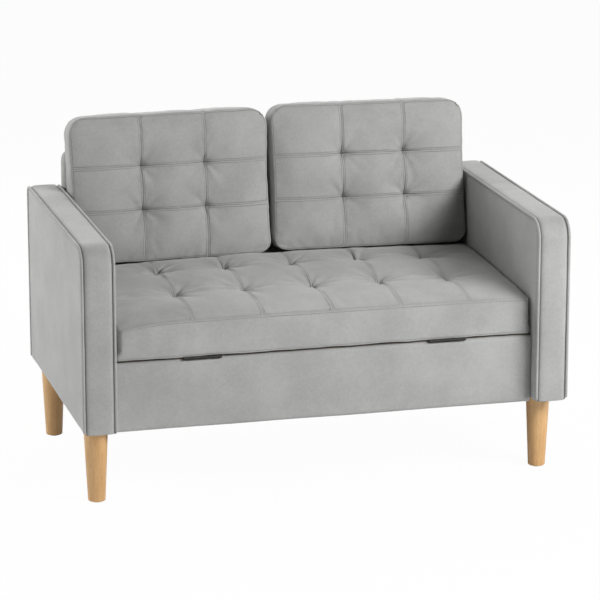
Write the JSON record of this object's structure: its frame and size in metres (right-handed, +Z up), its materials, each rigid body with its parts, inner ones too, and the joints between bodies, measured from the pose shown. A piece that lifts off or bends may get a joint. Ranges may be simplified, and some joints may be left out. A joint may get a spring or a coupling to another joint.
{
  "type": "storage sofa",
  "caption": "Compact two-seat upholstered sofa with box arms, loose tufted back cushions and a tufted seat that lifts on front hinges over a storage well.",
  "frame": {"origin": "on the floor, under the middle of the sofa's box", "axes": "+X to the right as seen from the front, +Y to the back, +Z up; the front faces -Y"},
  "size_m": [1.17, 0.69, 0.8122],
  "materials": {
    "upholstery": "light grey brushed velvet-like cloth with a soft sheen",
    "leg_wood": "clear-lacquered natural beech, satin",
    "pine_timber": "planed, unfinished",
    "plywood": "sanded, unfinished",
    "hinge_steel": "dark bronze lacquered steel",
    "zinc_steel": "zinc plated",
    "glide_plastic": "moulded",
    "dust_cloth": "black non-woven cloth"
  },
  "bodies": {
    "frame": {"left_arm_frame": "pine_timber", "right_arm_frame": "pine_timber", "left_arm_padding": "upholstery", "right_arm_padding": "upholstery", "left_arm_piping": "upholstery", "right_arm_piping": "upholstery", "back_frame": "pine_timber", "back_padding": "upholstery", "front_rail": "plywood", "front_rail_padding": "upholstery", "rear_rail": "plywood", "left_side_board": "plywood", "right_side_board": "plywood", "floor_cleats": "pine_timber", "floor_bearers": "pine_timber", "storage_floor": "plywood", "dust_cover": "dust_cloth", "seat_rest_rail": "pine_timber", "rear_deck_board": "plywood", "rear_deck_pad": "upholstery", "front_left_leg": "leg_wood", "front_right_leg": "leg_wood", "rear_left_leg": "leg_wood", "rear_right_leg": "leg_wood", "leg_bolts": "zinc_steel", "leg_inserts": "zinc_steel", "leg_glides": "glide_plastic", "frame_bolts": "zinc_steel", "frame_washers": "zinc_steel", "frame_inserts": "zinc_steel", "box_screws": "zinc_steel", "left_hinge_rail_leaf": "hinge_steel", "right_hinge_rail_leaf": "hinge_steel", "left_hinge_pin": "hinge_steel", "right_hinge_pin": "hinge_steel", "hinge_rail_screws": "hinge_steel"},
    "seat_lid": {"seat_board": "plywood", "seat_pad": "upholstery", "left_hinge_lid_leaf": "hinge_steel", "right_hinge_lid_leaf": "hinge_steel", "hinge_lid_screws": "hinge_steel"},
    "left_back_cushion": {"left_back_cushion": "upholstery"},
    "right_back_cushion": {"right_back_cushion": "upholstery"}
  },
  "joints": [
    {"name": "seat_lid_hinge", "type": "hinge", "parent": "frame", "child": "seat_lid", "pos_m": [0, -0.311, 0.3435], "axis": [1, 0, 0], "range_deg": [0, 165]},
    {"name": "left_cushion_lift", "type": "slide", "parent": "frame", "child": "left_back_cushion", "axis": [0, 0, 1], "range_m": [0, 0.4]},
    {"name": "right_cushion_lift", "type": "slide", "parent": "frame", "child": "right_back_cushion", "axis": [0, 0, 1], "range_m": [0, 0.4]}
  ]
}
